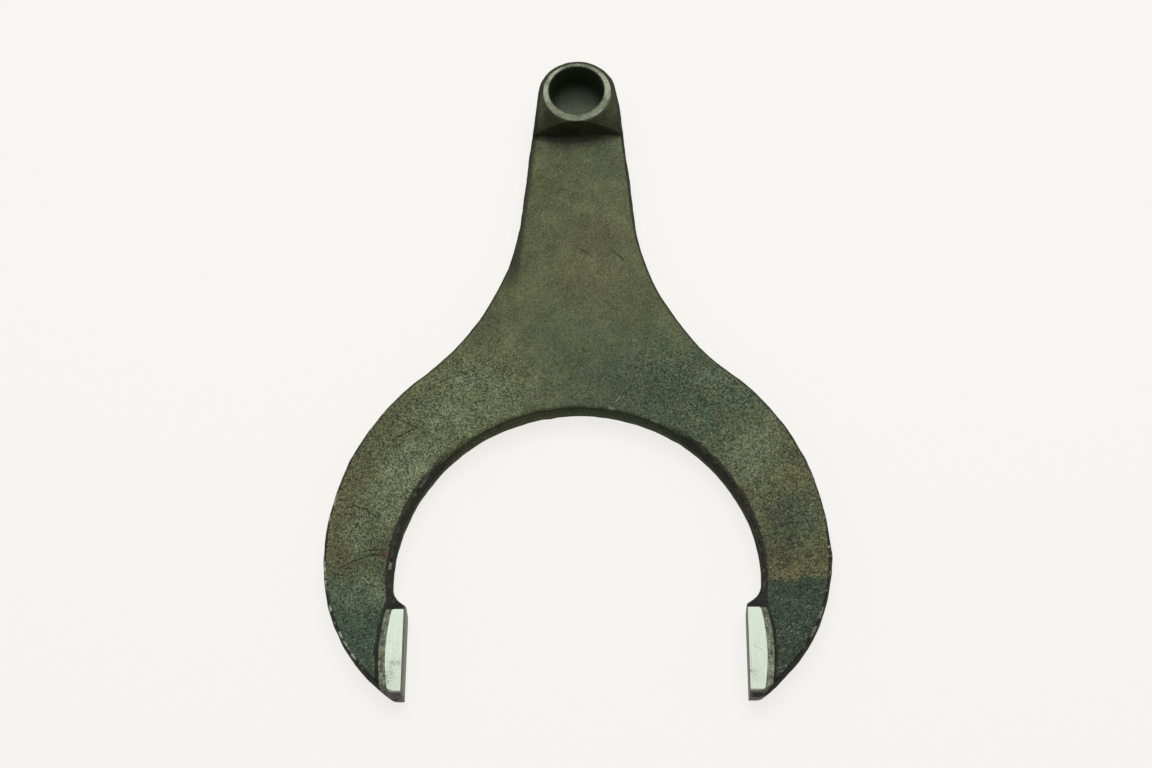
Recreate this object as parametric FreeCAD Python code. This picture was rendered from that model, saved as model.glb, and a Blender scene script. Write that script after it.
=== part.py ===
import FreeCAD, Part
import math
import os

# Differential lock fork: one steel forging with a few machined faces.
# Millimetres and degrees. The fork lies flat, its hub at the origin, its tips towards -Y.
# X = 0 and Y = 0 are the axis of the machined bore, and Z = 0 is the plane the fork rests on.

# Plate and its forged edge
plate_thickness = 9.5
draft_angle = 7.0
trimmed_land = 1.2
rim_radius = 1.2

# Hub and stem of the forging, and the gap between the pads that the fork is made round
hub_radius = 15.5
stem_flank_angle = 6.0
neck_radius = 94.0
throat_distance = 182.65
pad_gap = 112.0

# Round throat, deeper than the pads' inner faces, and the arms outside it
throat_relief = 4.85
arm_width = 23.35
arm_offset = 8.8
tip_curve_start_angle = 4.4
tip_reach = 39.65
tip_end_width = 2.2
tip_outer_corner_radius = 5.0

# Shoulder that leads from the round throat to each pad
shoulder_drop = 8.8
shoulder_angle = 32.0
shoulder_fillet_radius = 8.0
shoulder_corner_radius = 2.0

# Raised pads at the tips, machined on the front, the back and the inner face
pad_thickness = 12.5
pad_foot_width = 8.05
pad_foot_height = 0.7
pad_foot_slope = 0.3
pad_foot_bow_radius = 60.0
pad_foot_corner_radius = 3.0
pad_face_width = 5.65
pad_face_bow_radius = 70.0
pad_face_corner_radius = 1.0
pad_face_setback = 1.35
pad_start_drop = 9.9
pad_bow_drop = 26.0
pad_stock = 1.2

# Hub boss, its rounded rim and the flare that turns its square foot into a round rim
boss_height = 9.0
boss_reach = 13.55
boss_foot_radius = 1.6
boss_ring_radius = 12.3
boss_rim_radius = 1.2
boss_flare_angle = 42.0

# Low seat on the back of the hub, level with the backs of the pads
back_seat_radius = 13.0
back_seat_slope_angle = 30.0

# Blind bore
bore_radius = 10.0
bore_depth = 13.0
bore_floor_radius = 3.5
bore_mouth_chamfer = 0.3

# The machined faces are true to the bore, and the raw forging lies this far from them
forging_shift_x = 0.2
forging_shift_y = -0.9

# Overlap of joined bodies, overrun of cutting bodies, and the gap that counts as closed
overlap = 1.0
overrun = 5.0
joint_tolerance = 1e-6

pad_rise = (pad_thickness - plate_thickness) / 2
plate_back = pad_rise
plate_front = plate_back + plate_thickness
parting_level = plate_back + plate_thickness / 2
boss_top = plate_front + boss_height
pad_face = pad_gap / 2
forged_face = pad_face - pad_stock
throat_radius = pad_face + throat_relief
arm_radius = throat_radius + arm_width
arm_distance = throat_distance - arm_offset
tip_distance = throat_distance + tip_reach
shoulder_distance = throat_distance + shoulder_drop
pad_start_distance = throat_distance + pad_start_drop
pad_bow_distance = throat_distance + pad_bow_drop


def point(x, y, z=0.0):
    return FreeCAD.Vector(x, y, z)


def direction(angle):
    radians = math.radians(angle)
    return point(math.cos(radians), math.sin(radians))


def mirrored(vector):
    return point(-vector.x, vector.y, vector.z)


def centre_on_line(foot, along, other_centre, distance, sign):
    """Point of a line that lies at a distance from another centre: the near or the far of the two."""
    offset = foot - other_centre
    half_sum = offset.dot(along)
    root = math.sqrt(half_sum ** 2 - offset.dot(offset) + distance ** 2)
    return foot + along * (sign * root - half_sum)


def plan_edge(start, end, centre, level):
    """A straight edge of a plan, or the shorter arc round its centre if it has one."""
    lift = point(0, 0, level)
    if centre is None:
        return Part.LineSegment(start + lift, end + lift).toShape()
    first = math.atan2(start.y - centre.y, start.x - centre.x)
    last = math.atan2(end.y - centre.y, end.x - centre.x)
    if (last - first) % (2 * math.pi) > math.pi:
        first, last = last, first
    circle = Part.Circle(centre + lift, point(0, 0, 1), (start - centre).Length)
    return Part.ArcOfCircle(circle, first, last).toShape()


def outline_curves(inset):
    """The right half of the forged outline, from the top of the hub round to the top of the throat.

    Each curve is its two ends and its centre, which a straight one lacks. The inset moves every
    curve into the metal, which makes convex arcs smaller and concave arcs larger.
    """
    hub = point(0, 0)
    arm = point(0, -arm_distance)
    throat = point(0, -throat_distance)

    # The stem's straight flank touches the hub circle and the neck arc.
    flank_normal = direction(stem_flank_angle)
    flank_along = point(flank_normal.y, -flank_normal.x)
    neck_foot = flank_normal * (hub_radius + neck_radius)
    neck = centre_on_line(neck_foot, flank_along, arm, arm_radius + neck_radius, -1)
    neck_to_arm = (neck - arm).normalize()

    # The arm's arc tightens towards the tip, and a corner arc leads to the straight tip end.
    # The tightening arc has the one radius that touches both of these arcs.
    tightening = direction(-tip_curve_start_angle)
    corner = point(pad_face + tip_end_width, tip_outer_corner_radius - tip_distance)
    to_corner = corner - arm
    across = to_corner - tightening * arm_radius
    slack = arm_radius - tip_outer_corner_radius - to_corner.dot(tightening)
    tip_curve_radius = (across.dot(across) - tip_outer_corner_radius ** 2) / (2 * slack)
    tip_curve = arm + tightening * (arm_radius - tip_curve_radius)
    corner_normal = (corner - tip_curve).normalize()

    # Inner side of the tip: two small rounded corners and the sloping shoulder.
    inner_corner_x = forged_face + shoulder_corner_radius
    inner_corner = point(inner_corner_x, shoulder_corner_radius - tip_distance)
    shoulder_normal = direction(90 + shoulder_angle)
    shoulder_along = direction(shoulder_angle)
    shoulder_offset = point(pad_face, -shoulder_distance).dot(shoulder_normal)
    corner_level = shoulder_offset - shoulder_corner_radius - inner_corner_x * shoulder_normal.x
    shoulder_corner = point(inner_corner_x, corner_level / shoulder_normal.y)
    fillet_foot = shoulder_normal * (shoulder_offset + shoulder_fillet_radius)
    fillet_reach = throat_radius - shoulder_fillet_radius
    fillet = centre_on_line(fillet_foot, shoulder_along, throat, fillet_reach, 1)
    fillet_to_throat = (fillet - throat).normalize()

    right = point(1, 0)
    up = point(0, 1)
    # Each arc in turn: its centre, its radius, and the directions from its centre to its two ends.
    arcs = [
        (hub, hub_radius - inset, up, flank_normal),
        (neck, neck_radius + inset, -flank_normal, -neck_to_arm),
        (arm, arm_radius - inset, neck_to_arm, tightening),
        (tip_curve, tip_curve_radius - inset, tightening, corner_normal),
        (corner, tip_outer_corner_radius - inset, corner_normal, -up),
        (inner_corner, shoulder_corner_radius - inset, -up, -right),
        (shoulder_corner, shoulder_corner_radius - inset, -right, shoulder_normal),
        (fillet, shoulder_fillet_radius + inset, -shoulder_normal, fillet_to_throat),
        (throat, throat_radius + inset, fillet_to_throat, up),
    ]
    curves = []
    for centre, radius, start_direction, end_direction in arcs:
        start = centre + start_direction * radius
        if curves and (start - curves[-1][1]).Length > joint_tolerance:
            curves.append((curves[-1][1], start, None))
        curves.append((start, centre + end_direction * radius, centre))
    return curves


def outline_wire(inset, level):
    """The whole forged outline at one level, symmetric about X = 0."""
    right_side = outline_curves(inset)
    left_side = [
        (mirrored(end), mirrored(start), centre and mirrored(centre))
        for start, end, centre in reversed(right_side)
    ]
    return Part.Wire([plan_edge(*curve, level) for curve in right_side + left_side])


def drafted_prism(bottom, top):
    """The outline between two levels. Its walls lean in from a trimmed land on the parting level."""
    slope = math.tan(math.radians(draft_angle))
    sections = []
    for level in (bottom, parting_level - trimmed_land / 2, parting_level + trimmed_land / 2, top):
        height = max(abs(level - parting_level) - trimmed_land / 2, 0)
        sections.append(outline_wire(height * slope, level))
    return Part.makeLoft(sections, True, True)


def turned(profile):
    """A body of revolution round the hub, from a closed profile of (radius, level) points and arcs."""
    edges = []
    for curve in profile:
        placed = [point(radius, 0, level) for radius, level in curve]
        if len(placed) == 3:
            edges.append(Part.Arc(*placed).toShape())
        else:
            edges.append(Part.LineSegment(*placed).toShape())
    face = Part.Face(Part.Wire(edges))
    return face.revolve(point(0, 0), point(0, 0, 1), 360)


def rounding(centre_radius, centre_level, radius, start, end):
    """Start, middle and end of a rounding in a turned profile, between two angles from the radius."""
    return [
        (centre_radius + radius * direction(angle).x, centre_level + radius * direction(angle).y)
        for angle in (start, (start + end) / 2, end)
    ]


def side_block():
    """The fork's side view, as wide as the fork: the plate, then the near wall of the hub boss.

    The near wall runs straight across the stem, and its hollow foot runs out on the plate's front.
    """
    lean = math.tan(math.radians(draft_angle))
    foot_y = -boss_reach - boss_foot_radius
    foot_level = plate_front + boss_foot_radius
    foot_start = point(0, foot_y, plate_front)
    foot_middle = point(0, foot_y, foot_level) + point(0, 1, -1).normalize() * boss_foot_radius
    foot_end = point(0, -boss_reach, foot_level)
    wall_top = point(0, -boss_reach + (boss_top - foot_level) * lean, boss_top)
    tip_y = -tip_distance - overrun
    hub_y = hub_radius + overrun
    side_view = [
        Part.Arc(foot_start, foot_middle, foot_end).toShape(),
        Part.makePolygon([
            foot_end,
            wall_top,
            point(0, hub_y, boss_top),
            point(0, hub_y, plate_back),
            point(0, tip_y, plate_back),
            point(0, tip_y, plate_front),
            foot_start,
        ]),
    ]
    side_face = Part.Face(Part.Wire(side_view))
    half_width = arm_radius + overrun
    side_face.translate(point(-half_width, 0, 0))
    return side_face.extrude(point(2 * half_width, 0, 0))


def boss_flare():
    """Turned body that trims the upper corners of the boss: a round rim over a wide flare."""
    rim_level = boss_top - boss_rim_radius
    rim = rounding(boss_ring_radius, rim_level, boss_rim_radius, 90, 90 - boss_flare_angle)
    flare_height = rim[2][1] - plate_front
    flare_foot = (rim[2][0] + flare_height * math.tan(math.radians(boss_flare_angle)), plate_front)
    outside = 2 * flare_foot[0]
    above = boss_top + overrun
    return turned([
        rim,
        [rim[2], flare_foot],
        [flare_foot, (outside, plate_front)],
        [(outside, plate_front), (outside, above)],
        [(outside, above), (boss_ring_radius, above)],
        [(boss_ring_radius, above), rim[0]],
    ])


def forged_body():
    """The fork as forged, without its pads: drafted walls, the hub boss, and rounded rims."""
    body = drafted_prism(plate_back, boss_top).common(side_block())
    rims = []
    for edge in body.Edges:
        box = edge.BoundBox
        level = box.ZLength < joint_tolerance
        on_face = min(abs(box.ZMin - plate_back), abs(box.ZMin - plate_front)) < joint_tolerance
        across_stem = box.YLength < joint_tolerance and box.YMin > -hub_radius - boss_reach
        on_boss = not level and box.YMax < 0 and box.ZMin > plate_front - joint_tolerance
        if on_boss or (level and on_face and not across_stem):
            rims.append(edge)
    return body.makeFillet(rim_radius, rims).cut(boss_flare())


def back_seat():
    """The low round seat on the back of the hub."""
    height = plate_back + overlap
    slope = math.tan(math.radians(back_seat_slope_angle))
    return Part.makeCone(back_seat_radius, back_seat_radius + height * slope, height)


def pad_section(width, start_distance, bow_radius, corner_radius, level):
    """Plan of a right-hand pad at one level, past the inner face and the tip end on two sides.

    Its outer side is one shallow arc, and a corner arc leads into it from the straight start.
    """
    inner_x = forged_face - overrun
    start_y = -start_distance
    end_y = -tip_distance - overrun
    bow = point(pad_face + width - bow_radius, -pad_bow_distance)
    corner_y = start_y - corner_radius
    corner_span = math.sqrt((bow_radius - corner_radius) ** 2 - (corner_y - bow.y) ** 2)
    corner = point(bow.x + corner_span, corner_y)
    corner_normal = (corner - bow).normalize()
    up = point(0, 1)
    end_span = math.sqrt(bow_radius ** 2 - (end_y - bow.y) ** 2)
    bow_end = point(bow.x + end_span, end_y)
    corner_start = corner + up * corner_radius
    corner_end = corner + corner_normal * corner_radius
    curves = [
        (point(inner_x, end_y), point(inner_x, start_y), None),
        (point(inner_x, start_y), corner_start, None),
        (corner_start, corner_end, corner),
        (corner_end, bow_end, bow),
        (bow_end, point(inner_x, end_y), None),
    ]
    return Part.Wire([plan_edge(*curve, level) for curve in curves])


def front_pad():
    """The forged pad on the front of the right tip: a steep foot, then a slope up to its flat."""
    foot_top = plate_front + pad_foot_height
    pad_top = plate_front + pad_rise
    root_width = pad_foot_width + pad_foot_slope
    root_start = pad_start_distance - pad_foot_slope
    face_start = pad_start_distance + pad_face_setback
    root = (root_width, root_start, pad_foot_bow_radius, pad_foot_corner_radius)
    foot = (pad_foot_width, pad_start_distance, pad_foot_bow_radius, pad_foot_corner_radius)
    face = (pad_face_width, face_start, pad_face_bow_radius, pad_face_corner_radius)
    sections = [
        pad_section(*root, parting_level),
        pad_section(*root, plate_front),
        pad_section(*foot, foot_top),
        pad_section(*face, pad_top),
    ]
    return Part.makeLoft(sections, True, True)


def tip_pads():
    """All four pads, trimmed to the plan of the tips."""
    pad = front_pad()
    # The plane halfway up the plate mirrors the front pad to the back.
    back = pad.mirror(point(0, 0, parting_level), point(0, 0, 1))
    right = pad.fuse(back)
    left = right.mirror(point(0, 0), point(1, 0))
    walls = drafted_prism(plate_back - pad_rise, plate_front + pad_rise)
    return [right.common(walls), left.common(walls)]


def blind_bore():
    """Cutting body of the bore: a chamfered mouth, a straight wall and a flat floor with a corner radius."""
    floor = boss_top - bore_depth
    mouth_radius = bore_radius + bore_mouth_chamfer
    wall_top = boss_top - bore_mouth_chamfer
    above = boss_top + overrun
    corner = rounding(bore_radius - bore_floor_radius, floor + bore_floor_radius, bore_floor_radius, -90, 0)
    return turned([
        [(0, floor), corner[0]],
        corner,
        [corner[2], (bore_radius, wall_top)],
        [(bore_radius, wall_top), (mouth_radius, boss_top)],
        [(mouth_radius, boss_top), (mouth_radius, above)],
        [(mouth_radius, above), (0, above)],
        [(0, above), (0, floor)],
    ])


def throat_milling():
    """Cutting body that mills both inner pad faces in one pass, below the middle of the throat."""
    start_y = -tip_distance - overrun
    length = tip_distance + overrun - throat_distance
    corner = point(-pad_face, start_y, -overrun)
    return Part.makeBox(pad_gap, length, boss_top + 2 * overrun, corner)


def lock_fork():
    forging = forged_body().multiFuse([back_seat()] + tip_pads())
    forging.translate(point(forging_shift_x, forging_shift_y, 0))
    machined = forging.cut(throat_milling()).cut(blind_bore())
    return machined.removeSplitter()


os.makedirs("parts", exist_ok=True)
fork = lock_fork().Solids[0]
fork.exportStep("parts/lock_fork.step")
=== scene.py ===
import math

import bmesh
import bpy
import numpy as np
from mathutils import Matrix, Vector


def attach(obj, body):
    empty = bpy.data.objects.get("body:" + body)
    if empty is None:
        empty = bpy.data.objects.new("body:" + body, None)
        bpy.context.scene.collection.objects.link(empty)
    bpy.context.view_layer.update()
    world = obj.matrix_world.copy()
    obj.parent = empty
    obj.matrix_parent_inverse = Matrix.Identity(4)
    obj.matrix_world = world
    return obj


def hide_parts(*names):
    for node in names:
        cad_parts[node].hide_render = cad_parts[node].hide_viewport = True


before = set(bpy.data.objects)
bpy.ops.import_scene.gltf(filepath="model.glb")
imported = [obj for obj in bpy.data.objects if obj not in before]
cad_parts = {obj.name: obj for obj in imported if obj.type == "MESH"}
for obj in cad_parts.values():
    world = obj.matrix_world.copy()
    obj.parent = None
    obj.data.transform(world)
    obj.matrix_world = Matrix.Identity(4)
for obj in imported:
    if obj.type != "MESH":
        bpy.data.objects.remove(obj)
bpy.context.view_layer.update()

mm = 0.001
skinSlot, stripSlot, flatSlot, ringSlot, boreSlot, milledSlot = range(6)
outlineStep = 0.04        # between the points that measure an outline, in millimetres


# The forging's outline and section, in millimetres, in the forging's own frame
forkShape = {
    "plateBack": 1.5,
    "plateFront": 11.0,
    "draftAngle": 7.0,
    "trimmedLand": 1.2,
    "rimSetback": 1.06,
    "hubRadius": 15.5,
    "flankAngle": 6.0,
    "neckRadius": 94.0,
    "armRadius": 84.2,
    "armDistance": 173.85,
    "tipCurveStart": -4.4,
    "throatRadius": 60.85,
    "throatDistance": 182.65,
    "tipDistance": 222.3,
    "forgedFace": 54.8,
    "padFace": 56.0,
    "tipEndWidth": 2.2,
    "tipCornerRadius": 5.0,
    "shoulderDistance": 191.45,
    "shoulderAngle": 32.0,
    "shoulderFillet": 8.0,
    "shoulderCorner": 2.0,
    "shift": (0.2, -0.9),         # the raw forging against its machined bore
}
partingLevel = (forkShape["plateBack"] + forkShape["plateFront"]) / 2
draftSlope = math.tan(math.radians(forkShape["draftAngle"]))
forgingShift = np.array(forkShape["shift"])


def unit(degrees):
    return np.array([math.cos(math.radians(degrees)), math.sin(math.radians(degrees))])


def ringOf(angles):
    return np.stack([np.cos(angles), np.sin(angles)], axis=1)


def atLevel(plan, level):
    # The points of a plan at one level, or each at its own
    return np.concatenate([plan, np.zeros((len(plan), 1)) + np.reshape(level, (-1, 1))], axis=1)


def angleOf(vector):
    return math.degrees(math.atan2(vector[1], vector[0]))


def arcPoints(centre, radius, first, last, side):
    # centre + radius (cos a, sin a) for a from first to last, and its normal side (cos a, sin a)
    count = max(int(abs(math.radians(last - first)) * radius / outlineStep), 12)
    ring = ringOf(np.radians(np.linspace(first, last, count)))
    return centre + radius * ring, side * ring


def linePoints(start, end, normal):
    # start + t (end - start) for t from 0 to 1, with one normal all along
    count = max(int(np.linalg.norm(end - start) / outlineStep), 3)
    t = np.linspace(0, 1, count)[:, None]
    return start + t * (end - start), np.repeat(normal[None, :], count, axis=0)


def joinPath(parts):
    # The stretches one after another, with the length s run so far at every point
    points = np.concatenate([part[0] for part in parts])
    normals = np.concatenate([part[1] for part in parts])
    step = np.linalg.norm(np.diff(points, axis=0), axis=1)
    keep = np.concatenate([[True], step > 1e-7])
    points, normals = points[keep], normals[keep]
    length = np.concatenate([[0], np.cumsum(np.linalg.norm(np.diff(points, axis=0), axis=1))])
    return {"points": points, "normals": normals, "length": length}


def along(path, s):
    # Point and unit normal of the path at lengths s
    point = np.stack([np.interp(s, path["length"], path["points"][:, i]) for i in (0, 1)], axis=1)
    normal = np.stack([np.interp(s, path["length"], path["normals"][:, i]) for i in (0, 1)], axis=1)
    return point, normal / np.linalg.norm(normal, axis=1, keepdims=True)


def onLine(foot, direction, other, distance, sign):
    # Point of a line at a distance from another centre, the near or the far of the two
    offset = foot - other
    half = offset @ direction
    return foot + direction * (sign * math.sqrt(half ** 2 - offset @ offset + distance ** 2) - half)


def forkPaths():
    # The right half of the outline: outside from the top of the hub to the tip, the tip's end,
    # and inside from the top of the throat to the tip. Every curve touches the next one.
    f = forkShape
    hub = np.zeros(2)
    arm, throat = np.array([0, -f["armDistance"]]), np.array([0, -f["throatDistance"]])
    flankNormal = unit(f["flankAngle"])
    flankAlong = np.array([flankNormal[1], -flankNormal[0]])
    neck = onLine(flankNormal * (f["hubRadius"] + f["neckRadius"]), flankAlong, arm,
                  f["armRadius"] + f["neckRadius"], -1)
    neckToArm = (neck - arm) / np.linalg.norm(neck - arm)

    tightening = unit(f["tipCurveStart"])
    corner = np.array([f["padFace"] + f["tipEndWidth"], f["tipCornerRadius"] - f["tipDistance"]])
    across = corner - arm - tightening * f["armRadius"]
    slack = f["armRadius"] - f["tipCornerRadius"] - (corner - arm) @ tightening
    tipRadius = (across @ across - f["tipCornerRadius"] ** 2) / (2 * slack)
    tipCurve = arm + tightening * (f["armRadius"] - tipRadius)
    cornerTurn = angleOf(corner - tipCurve)

    innerX = f["forgedFace"] + f["shoulderCorner"]
    innerCorner = np.array([innerX, f["shoulderCorner"] - f["tipDistance"]])
    shoulderNormal = unit(90 + f["shoulderAngle"])
    shoulderAlong = unit(f["shoulderAngle"])
    shoulderLevel = np.array([f["padFace"], -f["shoulderDistance"]]) @ shoulderNormal
    upperLevel = shoulderLevel - f["shoulderCorner"] - innerX * shoulderNormal[0]
    upperCorner = np.array([innerX, upperLevel / shoulderNormal[1]])
    fillet = onLine(shoulderNormal * (shoulderLevel + f["shoulderFillet"]), shoulderAlong, throat,
                    f["throatRadius"] - f["shoulderFillet"], 1)
    filletTurn = angleOf(fillet - throat)

    hubArc = arcPoints(hub, f["hubRadius"], 90, f["flankAngle"], 1)
    neckArc = arcPoints(neck, f["neckRadius"], 180 + f["flankAngle"], 180 + angleOf(neckToArm), -1)
    armArc = arcPoints(arm, f["armRadius"], angleOf(neckToArm), f["tipCurveStart"], 1)
    tipArc = arcPoints(tipCurve, tipRadius, f["tipCurveStart"], cornerTurn, 1)
    cornerArc = arcPoints(corner, f["tipCornerRadius"], cornerTurn, -90, 1)
    innerArc = arcPoints(innerCorner, f["shoulderCorner"], -90, -180, 1)
    upperArc = arcPoints(upperCorner, f["shoulderCorner"], 180, 90 + f["shoulderAngle"], 1)
    filletArc = arcPoints(fillet, f["shoulderFillet"], f["shoulderAngle"] - 90, filletTurn, -1)
    throatArc = arcPoints(throat, f["throatRadius"], filletTurn, 90, -1)

    flank = linePoints(hubArc[0][-1], neckArc[0][0], flankNormal)
    tipEnd = linePoints(cornerArc[0][-1], innerArc[0][0], np.array([0.0, -1.0]))
    face = linePoints(innerArc[0][-1], upperArc[0][0], np.array([-1.0, 0.0]))
    shoulder = linePoints(upperArc[0][-1], filletArc[0][0], shoulderNormal)

    outer = joinPath([hubArc, flank, neckArc, armArc, tipArc, cornerArc])
    inner = joinPath([innerArc, face, upperArc, shoulder, filletArc, throatArc])
    total = inner["length"][-1]
    inner = {"points": inner["points"][::-1], "normals": inner["normals"][::-1],
             "length": total - inner["length"][::-1]}
    return outer, joinPath([tipEnd]), inner


# The hub boss: a wall straight across the stem on a hollow foot, and a round rim over a flare
bossShape = {
    "top": 20.0,
    "reach": 13.55,
    "footRadius": 1.6,
    "ringRadius": 12.3,
    "rimRadius": 1.2,
    "flareAngle": 42.0,
    "crease": 1.6,                # how far the flare and the wall melt into each other
    "overshoot": 2.2,             # how far the near wall's rungs start above the ring
    "sideShift": 0.2,             # how far below its own level a rung meets the outline
    "rimTightening": 0.095,       # how much smaller the outline's rim gets with each mm of height
    "leastSetback": 0.28,
    "boreRadius": 10.0,
    "boreDepth": 13.0,
    "boreFloorRadius": 3.5,
    "boreChamfer": 0.3,
    "seatRadius": 13.0,
}


def softMin(a, b, reach):
    # The smaller of two heights, less a parabola where they differ by less than the reach
    near = np.clip(1 - np.abs(a - b) / reach, 0, 1)
    return np.minimum(a, b) - near ** 2 * reach / 4


def softMax(a, b, reach):
    return -softMin(-a, -b, reach)


def flareHeight(x, y):
    # Level ring, then a quarter-round rim, then a cone that falls to the plate
    b = bossShape
    radius = np.hypot(x, y)
    turn = math.radians(b["flareAngle"])
    rimEnd = b["ringRadius"] + b["rimRadius"] * math.cos(math.pi / 2 - turn)
    rimEndHeight = b["top"] - b["rimRadius"] * (1 - math.sin(math.pi / 2 - turn))
    over = np.clip(radius - b["ringRadius"], 0, b["rimRadius"] * 0.999)
    rim = b["top"] - b["rimRadius"] + np.sqrt(b["rimRadius"] ** 2 - over ** 2)
    cone = rimEndHeight - (radius - rimEnd) / math.tan(math.pi / 2 - turn)
    return np.where(radius < b["ringRadius"], b["top"], np.where(radius < rimEnd, rim, cone))


def frontHeight(x, y, wallHeight):
    # The plate's front, raised to the side view's height and cut down by the flare
    plate = forkShape["plateFront"]
    flare = softMax(np.full_like(x, plate), flareHeight(x, y), bossShape["crease"])
    reach = np.clip(0.6 * (wallHeight - plate), 0.001, bossShape["crease"])
    height = softMin(wallHeight, flare, reach)
    return np.where(wallHeight <= plate + 1e-9, plate, height)


def wallInset(level):
    # How far the drafted wall leans in at a level, past the trimmed land
    past = np.abs(level - partingLevel) - forkShape["trimmedLand"] / 2
    return np.clip(past, 0, None) * draftSlope


# How finely the skin is divided
skinGrid = {
    "hubRungs": 72,
    "wallRungs": 16,
    "footRungs": 9,
    "armStep": 0.93,
    "across": 38,
    "rimRows": 7,
    "wallRows": 8,
    "lowerRows": 4,
    "backRows": 5,
    "rimWeight": 0.72,            # of the middle point of the rims' rational curve
    "cornerRounds": 12,           # to settle where the leaning wall meets the front
    "stemRungs": (66, 68),        # how far down the outside and the axis the level rungs go
    "crownAzimuth": 66,           # of the last rung that ends on the axis
    "matched": ((44, 54), (20, 22), (0, 0)),   # azimuths about the throat that a rung joins
    "shoulderMargin": 6,          # how far above the shoulder the throat's azimuths are read
    "weld": 0.002,
    "sharpAngle": 38,
    "faceMargin": 0.08,           # faces this near the milled inner faces count as milled
}


def rimCurve(start, corner, end, count):
    # Rational curve that leaves both ends along their tangents, close to a circle's arc
    t = np.linspace(0, 1, count)[:, None, None]
    weight = skinGrid["rimWeight"]
    low, middle, high = (1 - t) ** 2, 2 * t * (1 - t) * weight, t ** 2
    return (low * start + middle * corner + high * end) / (low + middle + high)


def sectionStrip(points, normals, wallHeights):
    # The wall's section carried along an outline: from the front over the rim, down the drafted wall
    # and round to the back. Row v, column u is base(u) - inset(v) normal(u), at the section's level.
    f, g = forkShape, skinGrid
    corner = np.full(len(points), f["plateFront"])
    for _ in range(g["cornerRounds"]):
        top = points - wallInset(corner)[:, None] * normals
        corner = frontHeight(top[:, 0], top[:, 1], wallHeights)
    setback = f["rimSetback"] - (corner - f["plateFront"]) * bossShape["rimTightening"]
    setback = np.clip(setback, bossShape["leastSetback"], None)

    def inside(inset, level):
        return atLevel(points - inset[:, None] * normals, level)

    inward = wallInset(corner) + setback
    faceEdge = inside(inward, corner)
    faceEdge[:, 2] = frontHeight(faceEdge[:, 0], faceEdge[:, 1], wallHeights)
    wallTopLevel = corner - setback
    wallTop = inside(wallInset(wallTopLevel), wallTopLevel)
    rim = rimCurve(faceEdge, inside(wallInset(corner), corner), wallTop, g["rimRows"])

    landTop = partingLevel + f["trimmedLand"] / 2
    landBottom = partingLevel - f["trimmedLand"] / 2
    fractions = np.linspace(0, 1, g["wallRows"] + 1)[1:, None]
    wallLevels = wallTopLevel + fractions * (landTop - wallTopLevel)
    backTop = f["plateBack"] + f["rimSetback"]
    lowerLevels = np.linspace(landBottom, backTop, g["lowerRows"])[:, None] + np.zeros(len(points))
    wall, lower = [np.stack([inside(wallInset(level), level) for level in levels])
                   for levels in (wallLevels, lowerLevels)]
    back = np.full(len(points), f["plateBack"])
    backCorner = inside(wallInset(back), back)
    backEdge = inside(wallInset(back) + f["rimSetback"], back)
    backRim = rimCurve(lower[-1], backCorner, backEdge, g["backRows"])[1:]
    level = np.ones(g["wallRows"] + g["lowerRows"])
    edge = np.concatenate([np.sin(np.linspace(0, math.pi, g["rimRows"])), 0 * level,
                           np.sin(np.linspace(0, math.pi, g["backRows"]))[1:]])
    side = np.concatenate([np.linspace(0, 1, g["rimRows"]), level, np.linspace(1, 0, g["backRows"])[1:]])
    return {"points": np.concatenate([rim, wall, lower, backRim]), "edge": edge[:, None],
            "side": side[:, None]}


def lengthAt(path, chosen, centre):
    # A function from the azimuth about a centre to the length along the chosen part of the path
    offset = path["points"][chosen] - centre
    azimuth = np.degrees(np.arctan2(offset[:, 1], offset[:, 0]))
    return lambda degrees: np.interp(-degrees, -azimuth, path["length"][chosen])


def onAxis(y):
    return np.stack([np.zeros_like(y), y, np.zeros_like(y)], axis=1)


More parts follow.
